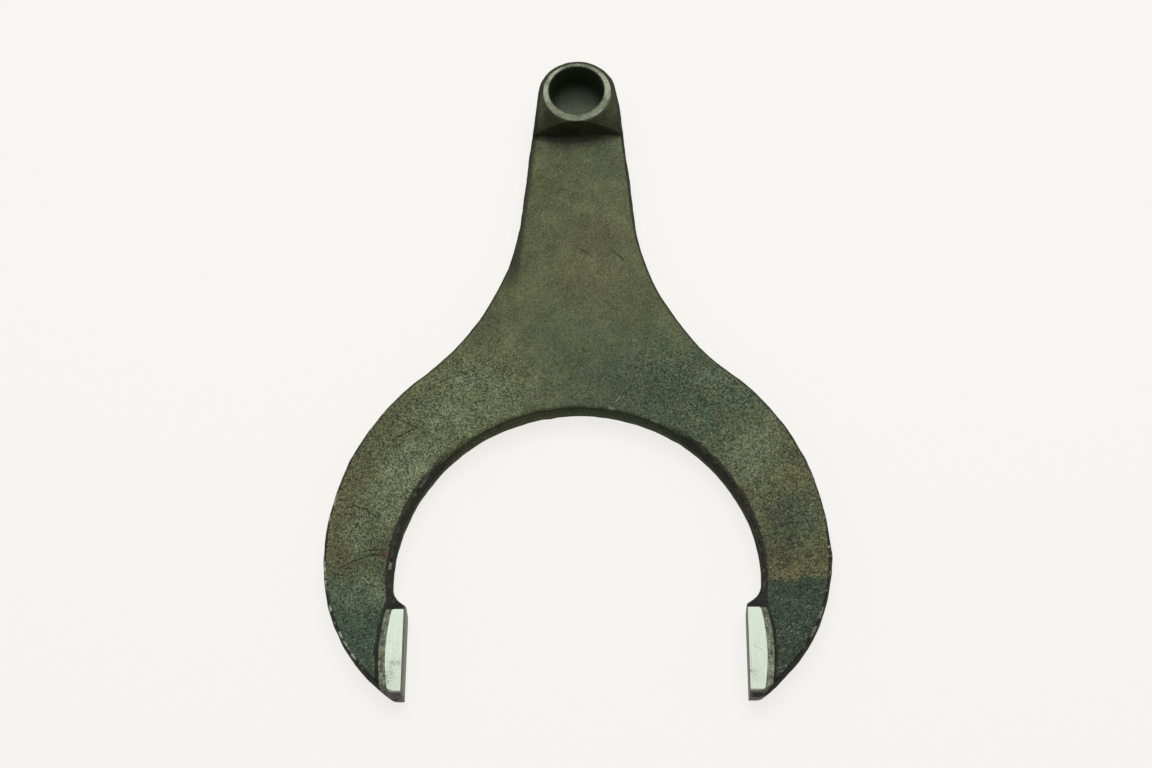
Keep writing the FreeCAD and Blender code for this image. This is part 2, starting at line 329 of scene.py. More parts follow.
def forkSkin():
    # Patches of the forging: strips along the outline, and ladders across its front and back
    f, b, g = forkShape, bossShape, skinGrid
    outer, tipEnd, inner = forkPaths()

    # Rungs: round the hub, down the near wall, down its hollow foot, then along stem and arm
    footTop = f["plateFront"] + b["footRadius"]
    wallLevels = np.linspace(b["top"] + b["overshoot"], footTop, g["wallRungs"])
    wallY = -b["reach"] + (wallLevels - footTop) * draftSlope
    turn = np.radians(np.linspace(0, -90, g["footRungs"] + 1)[1:])
    footY = -b["reach"] - b["footRadius"] + b["footRadius"] * np.cos(turn)
    footLevels = footTop + b["footRadius"] * np.sin(turn)
    sideY = np.concatenate([wallY, footY])
    firstBelow = np.argmax(outer["points"][:, 1] < 0)
    fallen, fallenLength = -outer["points"][firstBelow:, 1], outer["length"][firstBelow:]
    wallS = np.interp(-(sideY + b["sideShift"]), fallen, fallenLength)
    hubS = np.linspace(0, wallS[0], g["hubRungs"], endpoint=False)
    count = int((outer["length"][-1] - wallS[-1]) / g["armStep"])
    armS = np.linspace(wallS[-1], outer["length"][-1], count + 1)[1:]
    rungS = np.concatenate([hubS, wallS, armS])
    uncut = np.full(len(hubS), 1.5 * b["top"])
    wallHeights = np.concatenate([uncut, wallLevels, footLevels, np.full(len(armS), f["plateFront"])])
    firstWall = len(hubS)

    outerPoints, outerNormals = along(outer, rungS)
    outerSection = sectionStrip(outerPoints, outerNormals, wallHeights)
    outerStrip = outerSection["points"]

    # The rail inside: down the axis to the throat, then along the inner outline
    throat = np.array([0, -f["throatDistance"]])
    crownY = f["throatRadius"] - f["throatDistance"] + wallInset(f["plateFront"]) + f["rimSetback"]
    axisLength = wallY[0] - crownY
    outerAt = lengthAt(outer, outer["length"] > wallS[-1], throat)
    aboveShoulder = inner["points"][:, 1] > -f["shoulderDistance"] + g["shoulderMargin"]
    innerAt = lengthAt(inner, aboveShoulder, throat)
    stemOutside, stemInside = g["stemRungs"]
    pairs = [
        (wallS[-1], wallY[0] - sideY[-1]),
        (np.interp(stemOutside, fallen, fallenLength), wallY[0] + stemInside),
        (outerAt(g["crownAzimuth"]), axisLength),
        *((outerAt(outside), axisLength + innerAt(inside)) for outside, inside in g["matched"]),
        (outer["length"][-1], axisLength + inner["length"][-1]),
    ]
    rail = np.interp(armS, *zip(*pairs))
    firstInner = int(np.sum(rail < axisLength))
    rail[firstInner] = axisLength
    innerS = np.clip(rail[firstInner:] - axisLength, 0, inner["length"][-1])
    innerPoints, innerNormals = along(inner, innerS)
    innerSection = sectionStrip(innerPoints, innerNormals, np.full(len(innerS), f["plateFront"]))
    innerStrip = innerSection["points"]

    # Inner ends of every rung from the near wall's top on
    axisPoints = onAxis(np.concatenate([sideY, wallY[0] - rail[:firstInner]]))
    t = np.linspace(0, 1, g["across"] + 2)
    frontOuter = outerStrip[0, firstWall:]
    frontInner = np.concatenate([axisPoints, innerStrip[0]])
    front = frontOuter + t[:, None, None] * (frontInner - frontOuter)
    raised = frontHeight(front[:, :, 0], front[:, :, 1], wallHeights[None, firstWall:])
    front[1:-1, :, 2] = raised[1:-1]
    front[-1, :len(axisPoints), 2] = raised[-1, :len(axisPoints)]

    # The tip's end between the last two strips
    tipS = t * tipEnd["length"][-1]
    tipPoints, tipNormals = along(tipEnd, tipS)
    tipSection = sectionStrip(tipPoints, tipNormals, np.full(len(tipS), f["plateFront"]))

    # The back: the hub's rungs fan out from its centre
    hubAxis = onAxis(np.minimum(outerPoints[:firstWall, 1], 0))
    backOuter = outerStrip[-1]
    backInner = np.concatenate([hubAxis, axisPoints, innerStrip[-1]])
    back = backOuter + t[:, None, None] * (backInner - backOuter)
    back[:, :, 2] = f["plateBack"]

    patches = [outerSection, innerSection, tipSection, {"points": front}, {"points": back}]
    # The loop that bounds the hub's top: the strip's edge, then the near wall's top rung
    half = np.concatenate([outerStrip[0, :firstWall], front[:, 0]])
    return patches, half


def hubTop(half):
    # Rows that run in from the loop over the flare, rim and ring to the bore, then down its wall
    b = bossShape
    left = half[::-1][1:-1] * np.array([-1, 1, 1])
    loop = np.concatenate([half, left])
    plan = loop[:, :2]
    radius = np.linalg.norm(plan, axis=1, keepdims=True)
    direction = plan / radius
    turn = math.radians(b["flareAngle"])
    rimEnd = b["ringRadius"] + b["rimRadius"] * math.sin(turn)
    reaches = [radius + t * (rimEnd - radius) for t in np.linspace(0, 1, 6)[1:]]
    reaches += [b["ringRadius"] + b["rimRadius"] * math.sin(angle) for angle in np.linspace(turn, 0, 6)[1:]]
    rows = [loop]
    for reach in reaches:
        at = direction * np.minimum(reach, radius)
        rows.append(atLevel(at, flareHeight(at[:, 0], at[:, 1])))
    rimRows = len(rows)

    # The bore is true to the part's own axis, which the raw forging misses a little
    centre = -forgingShift
    toward = plan - centre
    toward = toward / np.linalg.norm(toward, axis=1, keepdims=True)
    floor = b["top"] - b["boreDepth"]
    mouth = b["boreRadius"] + b["boreChamfer"]
    ringEdge = rows[-1][:, :2]
    mouthEdge = centre + toward * mouth
    for t in (0.35, 0.7):            # of the way over the ring
        rows.append(atLevel(ringEdge + t * (mouthEdge - ringEdge), b["top"]))
    section = [(mouth + 0.08, b["top"]), (mouth, b["top"] - 0.06),
               (b["boreRadius"], b["top"] - b["boreChamfer"])]
    ringRows = len(rows)
    wallBottom = floor + b["boreFloorRadius"]
    section += [(b["boreRadius"], z) for z in np.linspace(b["top"] - b["boreChamfer"], wallBottom, 9)[1:]]
    for angle in np.radians(np.linspace(0, -90, 8)[1:]):
        section.append((b["boreRadius"] - b["boreFloorRadius"] * (1 - math.cos(angle)),
                        wallBottom + b["boreFloorRadius"] * math.sin(angle)))
    section += [(r, floor) for r in (5.0, 2.5, 0.0)]
    rows = np.stack(rows + [atLevel(centre + toward * reach, level) for reach, level in section])
    rows = np.concatenate([rows, rows[:, :1]], axis=1)
    return rows, rimRows, ringRows


# The pads: a steep foot, a sloping strip and a milled flat, the same on the back
padShape = {
    "thickness": 12.5,
    "centre": (59.2, -208.0),
    "footHeight": 0.7,
    "footSlope": 0.3,
    "footWidth": 8.05,
    "footBow": 60.0,
    "footCorner": 3.0,
    "faceWidth": 5.65,
    "faceBow": 70.0,
    "faceCorner": 1.0,
    "setback": 1.35,
    "startDistance": 192.55,
    "bowDistance": 208.65,
    "proud": 0.03,
    "around": 300,
    "tipFrom": 200.0,             # the forging's outline cuts the pad only past here
    "underLevels": (9.5, 8.0, partingLevel),
}


def reachTo(share, distance):
    # How far a ray runs to a line at a distance, where only a share of its run goes that way
    return np.where(share > 1e-3, distance / np.clip(share, 1e-3, None), 1e3)


def padReach(angles, centre, width, start, bow, corner):
    # Distance from the centre to the pad's own outline: the bowed side and the start line, with the
    # corner between them rounded by its circle
    p = forkShape
    ring = ringOf(angles)
    bowCentre = np.array([p["padFace"] + width - bow, -padShape["bowDistance"]])
    offset = centre - bowCentre
    half = ring @ offset
    bowReach = -half + np.sqrt(half ** 2 - offset @ offset + bow ** 2)
    startReach = reachTo(ring[:, 1], -start - centre[1])
    cornerY = -start - corner
    cornerX = bowCentre[0] + math.sqrt((bow - corner) ** 2 - (cornerY - bowCentre[1]) ** 2)
    cornerCentre = np.array([cornerX, cornerY])
    toCorner = centre - cornerCentre
    halfCorner = ring @ toCorner
    inside = halfCorner ** 2 - toCorner @ toCorner + corner ** 2
    cornerReach = -halfCorner + np.sqrt(np.clip(inside, 0, None))
    hit = centre + cornerReach[:, None] * ring - cornerCentre
    bowTurn = math.atan2(cornerCentre[1] - bowCentre[1], cornerCentre[0] - bowCentre[0])
    hitTurn = np.arctan2(hit[:, 1], hit[:, 0])
    inCorner = (inside > 0) & (hitTurn > bowTurn) & (hitTurn < math.pi / 2)
    return np.where(inCorner, cornerReach, np.minimum(bowReach, startReach))


def padShell(side):
    # Rings round the pad's centre, one for each level of its section, from the front flat to the back
    p, f = padShape, forkShape
    outer, tipEnd, _ = forkPaths()
    points = np.concatenate([outer["points"], tipEnd["points"]])
    normals = np.concatenate([outer["normals"], tipEnd["normals"]])
    low = points[:, 1] < -p["tipFrom"]
    points, normals = points[low], normals[low]
    centre = np.array(p["centre"])
    milled = f["padFace"] - p["proud"] - side * f["shift"][0]

    def outline(angles, level, width, start, bow, corner):
        ring = ringOf(angles)
        own = padReach(angles, centre, width, start, bow, corner)
        edge = points - (wallInset(level) - p["proud"]) * normals
        turn = np.arctan2(edge[:, 1] - centre[1], edge[:, 0] - centre[0])
        order = np.argsort(turn)
        reach = np.linalg.norm(edge - centre, axis=1)[order]
        tip = np.interp(angles, turn[order], reach, left=1e3, right=1e3)
        endLevel = -f["tipDistance"] + wallInset(level) - p["proud"]
        end = reachTo(-ring[:, 1], centre[1] - endLevel)
        inside = reachTo(-ring[:, 0], centre[0] - milled)
        return np.minimum(np.minimum(own, tip), np.minimum(end, inside))

    slope, start = p["footSlope"], p["startDistance"]
    root = (p["footWidth"] + slope, start - slope, p["footBow"], p["footCorner"])
    foot = (p["footWidth"], start, p["footBow"], p["footCorner"])
    face = (p["faceWidth"], start + p["setback"], p["faceBow"], p["faceCorner"])
    wide = (30.0, start - 20, 400.0, 1.0)        # so far out that only the forging's own edge counts
    footTop = f["plateFront"] + p["footHeight"]
    top = f["plateFront"] + (p["thickness"] - (f["plateFront"] - f["plateBack"])) / 2

    dense = np.linspace(-math.pi, math.pi, 8001)
    reach = outline(dense, footTop, *foot)
    plan = reach[:, None] * ringOf(dense)
    run = np.concatenate([[0], np.cumsum(np.linalg.norm(np.diff(plan, axis=0), axis=1))])
    angles = np.interp(np.linspace(0, run[-1], p["around"] + 1), run, dense)
    ring = ringOf(angles)

    rootReach = outline(angles, f["plateFront"], *root)
    footReach = outline(angles, footTop, *foot)
    faceReach = outline(angles, top, *face)
    rows = [(faceReach * share, top) for share in (0.0, 0.3, 0.6, 0.85, 0.97, 1.0)]
    kinds = [flatSlot] * len(rows)
    for share in np.linspace(0, 1, 7)[1:]:
        level = top + share * (footTop - top)
        reach = faceReach + share * (footReach - faceReach)
        rows.append((np.minimum(reach, outline(angles, level, *wide)), level))
    for share in (0.5, 1.0):
        level = footTop + share * (f["plateFront"] - footTop)
        rows.append((footReach + share * (rootReach - footReach), level))
    rows += [(outline(angles, level, *root), level) for level in p["underLevels"]]
    kinds += [stripSlot] * (len(rows) - len(kinds))
    full = rows + [(reach, 2 * partingLevel - level) for reach, level in rows[::-1][1:]]
    grid = np.stack([atLevel(centre + reach[:, None] * ring, level) for reach, level in full])
    grid[:, :, 0] *= side
    return grid, kinds[1:] + kinds[::-1][:-1]


def hubSeat():
    # A low cone turned round the hub's axis, closed on both sides
    b = bossShape
    seat, level = b["seatRadius"], forkShape["plateBack"]
    section = [(0, 0), (6, 0), (seat - 0.3, 0), (seat, 0.1),
               (seat + level * 0.577, level), (seat + 1.0, 2 * level), (0, 2 * level)]
    ring = ringOf(np.linspace(0, 2 * math.pi, 121))
    return np.stack([atLevel(radius * ring, z) for radius, z in section])


class Collector:
    # Gathers grids of points into one list of vertices, faces, slots and masks
    def __init__(self):
        self.points, self.faces, self.slots = [], [], []
        self.masks = {"edge": [], "side": [], "forged": []}
        self.count = 0

    def add(self, grid, slot, edge=0.0, side=0.0, forged=1.0):
        rows, columns = grid.shape[:2]
        index = self.count + np.arange(rows * columns).reshape(rows, columns)
        quads = np.stack([index[:-1, :-1], index[:-1, 1:], index[1:, 1:], index[1:, :-1]], axis=2)
        slots = np.broadcast_to(np.asarray(slot).reshape(-1, 1), (rows - 1, columns - 1))
        self.points.append(grid.reshape(-1, 3))
        self.faces.append(quads.reshape(-1, 4))
        self.slots.append(slots.reshape(-1))
        for name, mask in (("edge", edge), ("side", side), ("forged", forged)):
            self.masks[name].append((np.zeros((rows, columns)) + mask).reshape(-1))
        self.count += rows * columns


print("building the forging")
patches, half = forkSkin()
collector = Collector()
for patch in patches:
    for side in (1, -1):
        masks = {name: patch[name] for name in ("edge", "side") if name in patch}
        collector.add(patch["points"] * np.array([side, 1, 1]), skinSlot, **masks)
top, rimRows, ringRows = hubTop(half)
rowIndex = np.arange(len(top))
# The rim is worn most a little before its end
topForged = np.where(rowIndex < rimRows - 1, 1.0, 0.0)[:, None]
topEdge = np.exp(-((rowIndex - rimRows + 3) / 2.0) ** 2)[:, None]
cell = np.arange(len(top) - 1)
topSlots = np.where(cell < rimRows - 1, skinSlot, np.where(cell < ringRows + 1, ringSlot, boreSlot))
collector.add(top, topSlots, edge=topEdge, forged=topForged)
skinCount = collector.count

for side in (1, -1):
    grid, slots = padShell(side)
    collector.add(grid, slots, forged=0.0)
collector.add(hubSeat(), stripSlot, forged=0.0)

points = np.concatenate(collector.points)
points[:, :2] += forgingShift
# Raw skin that stands past the milled inner faces is cut back to them
milledZone = points[:, 1] < -forkShape["throatDistance"]
milledZone[skinCount:] = False
cutAway = milledZone & (np.abs(points[:, 0]) < forkShape["padFace"]) & (np.abs(points[:, 0]) > 40)
points[cutAway, 0] = np.sign(points[cutAway, 0]) * forkShape["padFace"]

mesh = bpy.data.meshes.new("forged_fork")
faces = np.concatenate(collector.faces)
slots = np.concatenate(collector.slots)
middle = points[faces].mean(axis=1)
nearFace = np.abs(np.abs(middle[:, 0]) - forkShape["padFace"]) < skinGrid["faceMargin"]
slots[nearFace & (middle[:, 1] < -forkShape["throatDistance"])] = milledSlot
mesh.vertices.add(len(points))
mesh.vertices.foreach_set("co", (points * mm).astype(np.float32).ravel())
mesh.loops.add(faces.size)
mesh.loops.foreach_set("vertex_index", faces.ravel())
mesh.polygons.add(len(faces))
mesh.polygons.foreach_set("loop_start", np.arange(0, faces.size, 4))
mesh.polygons.foreach_set("material_index", slots.astype(np.int32))
mesh.polygons.foreach_set("use_smooth", np.ones(len(faces), dtype=bool))
for name, values in collector.masks.items():
    layer = mesh.attributes.new(name + "Mask", "FLOAT", "POINT")
    layer.data.foreach_set("value", np.concatenate(values).astype(np.float32))
mesh.update(calc_edges=True)

work = bmesh.new()
work.from_mesh(mesh)
bmesh.ops.remove_doubles(work, verts=work.verts, dist=skinGrid["weld"] * mm)
bmesh.ops.recalc_face_normals(work, faces=work.faces)
openEdges = sum(1 for edge in work.edges if len(edge.link_faces) != 2)
work.to_mesh(mesh)
work.free()
mesh.set_sharp_from_angle(angle=math.radians(skinGrid["sharpAngle"]))
print("skin vertices", len(mesh.vertices), "faces", len(mesh.polygons), "open edges", openEdges)
fork = bpy.data.objects.new("forged_fork", mesh)
bpy.context.collection.objects.link(fork)


# Forged unevenness: sums of seeded waves, in millimetres
reliefShape = {
    "seed": 11,
    "bands": [(22.0, 0.07), (8.0, 0.045), (3.2, 0.022)],     # wavelength and depth
    "waves": 26,
    "burrs": [((83.9, -176.0), 3.2, 0.55), ((83.5, -181.0), 2.6, 0.35), ((-9.0, -123.0), 1.6, 0.3),
              ((69.0, -217.0), 3.0, -0.3), ((-83.0, -168.0), 6.0, 0.12), ((-76.0, -206.0), 5.0, 0.15)],
}


def waves(points, wavelength, seed, count):
    # Sum over i of sin(k_i . p + phase_i), with k_i in random directions and near one wavelength
    maker = np.random.default_rng(seed)
    directions = maker.normal(size=(count, 3))
    directions /= np.linalg.norm(directions, axis=1, keepdims=True)
    lengths = wavelength * maker.uniform(0.7, 1.45, count)
    phases = maker.uniform(0, 2 * math.pi, count)
    total = np.zeros(len(points))
    for direction, length, phase in zip(directions, lengths, phases):
        total += np.sin(points @ direction * (2 * math.pi / length) + phase)
    return total / math.sqrt(count / 2)


def readField(items, name, width=1):
    # One field of every item, in rows of its width
    values = np.empty(len(items) * width, dtype=np.float32)
    items.foreach_get(name, values)
    return values.reshape(-1, width).astype(float)


def relieve(target):
    # Moves each point along its normal by the sum of the bands, where the skin is as forged. On the
    # walls each burr adds its height times exp(-(distance / reach)^2)
    data = target.data
    at = readField(data.vertices, "co", 3) / mm
    normals = readField(data.vertices, "normal", 3)
    forged = readField(data.attributes["forgedMask"].data, "value")[:, 0]
    wall = readField(data.attributes["sideMask"].data, "value")[:, 0]
    depth = np.zeros(len(at))
    for number, (wavelength, height) in enumerate(reliefShape["bands"]):
        depth += height * waves(at, wavelength, reliefShape["seed"] + number, reliefShape["waves"])
    for centre, reach, height in reliefShape["burrs"]:
        distance = np.linalg.norm(at[:, :2] - np.array(centre), axis=1)
        depth += height * np.exp(-(distance / reach) ** 2) * wall
    onFace = np.abs(np.abs(at[:, 0]) - forkShape["padFace"]) < 0.05
    depth *= forged * np.where(onFace & (at[:, 1] < -forkShape["throatDistance"]), 0, 1)
    at += normals * depth[:, None]
    data.vertices.foreach_set("co", (at * mm).astype(np.float32).ravel())
    data.update()


relieve(fork)


# Where each tint, stain and wear lies on the front: place, half size and strength, in millimetres
skinZones = {
    "pale": [((-57, -147), (8, 11), 0.85), ((-62, -157), (7, 9), 0.6), ((-43, -126), (11, 9), 0.5),
             ((-37, -112), (8, 6), 0.45), ((-27, -119), (13, 8), 0.3), ((-72, -167), (5, 6), 0.55),
             ((60, -140), (9, 11), 0.4), ((-68, -190), (9, 6), 0.35), ((46, -113), (6, 4), 0.25),
             ((-47, -134), (8, 8), 0.4)],
    "teal": [((32, -116), (34, 22), 0.85), ((11, -25), (7, 9), 0.6), ((52, -150), (12, 26), 0.25),
             ((-5, -100), (12, 18), 0.25), ((72, -162), (7, 8), 0.6), ((-69, -168), (7, 12), 0.35)],
    "brown": [((70, -180), (15, 5.5), 0.8), ((-77, -160), (6, 18), 0.5), ((6, -56), (8, 6), 0.6),
             ((2, -70), (12, 10), 0.15), ((57, -158), (5, 10), 0.35)],
    "straw": [((70.5, -149), (5, 5), 0.55), ((-2.5, -70), (1.9, 4.0), 0.75), ((72, -181), (13, 3), 0.2)],
    "shade": [((71, -163), (8, 9), 0.30), ((67, -174), (8, 6), 0.26), ((79, -165), (5, 7), 0.16),
             ((6, -56), (9, 7), 0.12), ((26, -115), (12, 9), 0.12), ((10, -105), (9, 8), 0.08),
             ((-75, -178), (9, 5), 0.10), ((-63, -176), (5, 4), 0.15), ((14, -119), (5, 3), 0.12)],
    "worn": [((-73, -202), (13, 15), 0.95), ((-80.5, -181), (5, 7), 1.0), ((-81.5, -160), (5, 10), 0.6),
             ((83.7, -177), (4, 6), 0.95), ((69, -216), (6, 7), 0.9), ((80, -195), (6, 12), 0.5),
             ((-70, -130), (16, 14), 0.4), ((-60.5, -179.5), (3, 4), 0.6), ((20, -124), (16, 4), 0.35),
             ((-49, -154), (4, 5), 0.5), ((80, -157), (5, 12), 0.5)],
    "crack": [((-73.0, -161.0), (5.0, 3.0), 0.6), ((-71, -172), (6, 5), 0.6), ((70, -168), (5, 5), 0.6)],
    "rust": [((-63.2, -174.9), (1.8, 1.2), 0.5)],
}


# What makes the zones' outlines ragged, in shares of their half size, and how softly they end
zoneEdge = {"seed": 40, "wavelength": 7.0, "waves": 18, "depth": 0.16, "soft": 0.6, "crisp": 0.35}


def ovals(at, zones, softness, seed):
    # The largest of strength times a smooth step of |(place - centre) / half size| + waves
    rough = zoneEdge["depth"] * waves(at, zoneEdge["wavelength"], seed, zoneEdge["waves"])
    total = np.zeros(len(at))
    for centre, half, strength in zones:
        reach = np.hypot((at[:, 0] - centre[0]) / half[0], (at[:, 1] - centre[1]) / half[1]) + rough
        share = np.clip((1 + softness - reach) / (2 * softness), 0, 1)
        total = np.maximum(total, strength * share ** 2 * (3 - 2 * share))
    return total


def tint(target):
    # One mask for each entry of the zones, kept on the mesh
    data = target.data
    at = readField(data.vertices, "co", 3) / mm
    for number, (name, zones) in enumerate(skinZones.items()):
        softness = zoneEdge["crisp" if name in ("worn", "crack", "rust") else "soft"]
        values = ovals(at, zones, softness, zoneEdge["seed"] + number)
        layer = data.attributes.new(name + "Mask", "FLOAT", "POINT")
        layer.data.foreach_set("value", values.astype(np.float32))


tint(fork)


# Shader helpers. A node's inputs are sockets or plain values, and it joins the sockets' own tree
def feed(node, inputs):
    for key, value in inputs.items():
        if isinstance(value, bpy.types.NodeSocket):
            node.id_data.links.new(value, node.inputs[key])
        else:
            node.inputs[key].default_value = value
    return node


def put(kind, inputs=None, tree=None, **settings):
    inputs = inputs or {}
    if tree is None:
        tree = next(value.id_data for value in inputs.values() if isinstance(value, bpy.types.NodeSocket))
    node = tree.nodes.new("ShaderNode" + kind)
    for name, value in settings.items():
        setattr(node, name, value)
    return feed(node, inputs)


def calc(operation, a, b=0.0, clamp=False):
    return put("Math", {0: a, 1: b}, operation=operation, use_clamp=clamp).outputs[0]


def times(first, *others):
    for other in others:
        first = calc("MULTIPLY", first, other)
    return first


def largest(first, *others):
    for other in others:
        first = calc("MAXIMUM", first, other)
    return first


def plus(a, b):
    return calc("ADD", a, b)


def minus(a, b):
    return calc("SUBTRACT", a, b)


def vectorCalc(operation, a, b=(0, 0, 0)):
    node = put("VectorMath", {0: a, 1: b}, operation=operation)
    return node.outputs["Value" if operation in ("LENGTH", "DOT_PRODUCT", "DISTANCE") else "Vector"]


def scaled(vector, factor):
    return put("VectorMath", {0: vector, "Scale": factor}, operation="SCALE").outputs[0]


def ramp(value, low, high, toLow=0.0, toHigh=1.0):
    # Smooth step of the value between low and high
    return put("MapRange", {0: value, 1: low, 2: high, 3: toLow, 4: toHigh},
               interpolation_type="SMOOTHSTEP").outputs[0]


def spread(mask, low, high):
    return ramp(mask, 0.0, 1.0, low, high)


def fade(value, ends, toLow=0.0, toHigh=1.0):
    # Smooth step between two places or distances in millimetres
    return ramp(value, ends[0] * mm, ends[1] * mm, toLow, toHigh)


def blend(factor, a, b):
    return put("Mix", {0: factor, 6: a, 7: b}, data_type="RGBA", clamp_factor=True).outputs[2]


def noise(where, scale, detail, roughness=0.5, output=0):
    return put("TexNoise", {"Vector": where, "Scale": scale, "Detail": detail,
                            "Roughness": roughness}).outputs[output]


def pushed(where, scale, amount):
    # The place pushed about by a noise's colour
    push = vectorCalc("SUBTRACT", noise(where, scale, 3.0, output=1), (0.5, 0.5, 0.5))
    return vectorCalc("ADD", where, scaled(push, amount))


def colour(red, green, blue):
    # A colour as it looks on a screen, 0 to 255, in the shader's linear units
    shown = np.array([red, green, blue]) / 255
    linear = np.where(shown <= 0.04045, shown / 12.92, ((shown + 0.055) / 1.055) ** 2.4)
    return (*linear.tolist(), 1.0)


def makeGroup(name, inputs, outputs):
    # A group that reads a place and the inputs, each a float or a vector
    group = bpy.data.node_groups.new(name, "ShaderNodeTree")
    for label, value in {"Vector": None, **inputs}.items():
        kind = "NodeSocketFloat" if isinstance(value, float) else "NodeSocketVector"
        socket = group.interface.new_socket(label, in_out="INPUT", socket_type=kind)
        if value is not None:
            socket.default_value = value
    for label in outputs:
        group.interface.new_socket(label, in_out="OUTPUT", socket_type="NodeSocketFloat")
    return group, group.nodes.new("NodeGroupInput").outputs, group.nodes.new("NodeGroupOutput")


def place(group, where, **inputs):
    node = put("Group", tree=where.id_data)
    node.node_tree = group
    return feed(node, {"Vector": where, **inputs}).outputs


def grainGroup():
    # Shot-blasted grain: two noises added, grit as the random levels of small cells, and the
    # brightest dots of a coarser cell pattern as sparkle
    group, given, result = makeGroup("blastGrain", {"Scale": 2200.0, "Sparkle": 0.05},
                                     ["Grain", "Grit", "Sparkle"])
    at, scale = given["Vector"], given["Scale"]
    finer = times(scale, 2.6)
    mixed = plus(times(noise(at, scale, 3.0, 0.7), 0.6), times(noise(at, finer, 2.0), 0.4))
    grit = put("TexVoronoi", {"Vector": at, "Scale": finer}).outputs["Color"]
    cells = put("TexVoronoi", {"Vector": at, "Scale": scale}).outputs
    chosen = put("SeparateColor", {0: cells["Color"]}).outputs[0]
    bright = calc("GREATER_THAN", chosen, minus(1.0, given["Sparkle"]))
    feed(result, {"Grain": ramp(mixed, 0.36, 0.64),
                  "Grit": put("SeparateColor", {0: grit}).outputs[1],
                  "Sparkle": times(bright, ramp(cells["Distance"], 0.45, 0.15))})
    return group


def mottleGroup():
    # Cloudy patches: a noise of the given scale, steepened round its middle
    group, given, result = makeGroup("cloudyMottle", {"Scale": 60.0, "Steepness": 1.0}, ["Mask"])
    offset = minus(noise(given["Vector"], given["Scale"], 5.0, 0.6), 0.5)
    feed(result, {"Mask": calc("ADD", times(offset, given["Steepness"], 3.0), 0.5, clamp=True)})
    return group


def zoneGroup():
    # An oval patch: the length of (place - centre) / half size, made ragged by noise, faded at 1
    group, given, result = makeGroup("ovalZone", {
        "Centre": None, "HalfSize": (0.01, 0.01, 1.0), "Softness": 0.4, "Raggedness": 0.5, "Scale": 120.0,
    }, ["Mask"])
    offset = vectorCalc("SUBTRACT", given["Vector"], given["Centre"])
    reach = vectorCalc("LENGTH", vectorCalc("DIVIDE", offset, given["HalfSize"]))
    rough = times(minus(noise(given["Vector"], given["Scale"], 4.0), 0.5), given["Raggedness"])
    feed(result, {"Mask": ramp(plus(reach, rough), plus(1.0, given["Softness"]),
                               minus(1.0, given["Softness"]))})
    return group


def seamGroup():
    # A thin wandering line from start to end: distance to the stretch between them, measured at a
    # place that noise has pushed about, faded out at the given width
    group, given, result = makeGroup("wanderingSeam", {
        "Start": None, "End": None, "Width": 0.0003, "Wander": 0.002, "Scale": 400.0,
    }, ["Mask"])
    moved = pushed(given["Vector"], given["Scale"], given["Wander"])
    run = vectorCalc("SUBTRACT", given["End"], given["Start"])
    offset = vectorCalc("SUBTRACT", vectorCalc("MULTIPLY", moved, (1, 1, 0)), given["Start"])
    share = calc("DIVIDE", vectorCalc("DOT_PRODUCT", offset, run),
                 vectorCalc("DOT_PRODUCT", run, run), clamp=True)
    gap = vectorCalc("DISTANCE", offset, scaled(run, share))
    feed(result, {"Mask": ramp(gap, given["Width"], 0.0)})
    return group


def crackGroup():
    # Broken cracks: the borders of a cell pattern, kept where a coarse noise is high
    group, given, result = makeGroup("brokenCracks", {"Scale": 200.0, "Width": 0.05, "Share": 0.5}, ["Mask"])
    at = given["Vector"]
    border = put("TexVoronoi", {"Vector": pushed(at, 500.0, 0.004), "Scale": given["Scale"]},
                 feature="DISTANCE_TO_EDGE").outputs["Distance"]
    keep = ramp(minus(noise(at, 260.0, 1.0), minus(1.0, given["Share"])), -0.04, 0.04)
    feed(result, {"Mask": times(ramp(border, given["Width"], 0.0), keep)})
    return group


print("building the finishes")
grain, mottle, zone, seam, cracks = grainGroup(), mottleGroup(), zoneGroup(), seamGroup(), crackGroup()


def spot(x, y, z=0.0):
    return (x * mm, y * mm, z * mm)


def cloudMask(where, scale, steepness):
    return place(mottle, where, Scale=scale, Steepness=steepness)["Mask"]


def lineMask(where, start, end, width, wander):
    return place(seam, where, Start=spot(*start), End=spot(*end), Width=width * mm,
                 Wander=wander * mm)["Mask"]


def patchMask(where, centre, half, softness, raggedness, scale=120.0):
    return place(zone, where, Centre=spot(*centre), HalfSize=spot(*half), Softness=softness,
                 Raggedness=raggedness, Scale=scale)["Mask"]


def maskOf(where, name):
    return put("Attribute", tree=where.id_data, attribute_name=name + "Mask").outputs["Fac"]


def newMaterial(name):
    material = bpy.data.materials.new(name)
    material.use_nodes = True
    tree = material.node_tree
    where = put("TexCoord", tree=tree).outputs["Object"]
    return material, tree.nodes["Principled BSDF"], where, put("SeparateXYZ", {0: where}).outputs


def finishOff(shader, base, roughness, metallic, height=None, strength=0.0, depth=0.0):
    # Colour and gloss, and where a height is given its bumps
    feed(shader, {"Base Color": base, "Roughness": roughness, "Metallic": metallic})
    if height is not None:
        bump = put("Bump", {"Strength": strength, "Distance": depth, "Height": height})
        feed(shader, {"Normal": bump.outputs[0]})


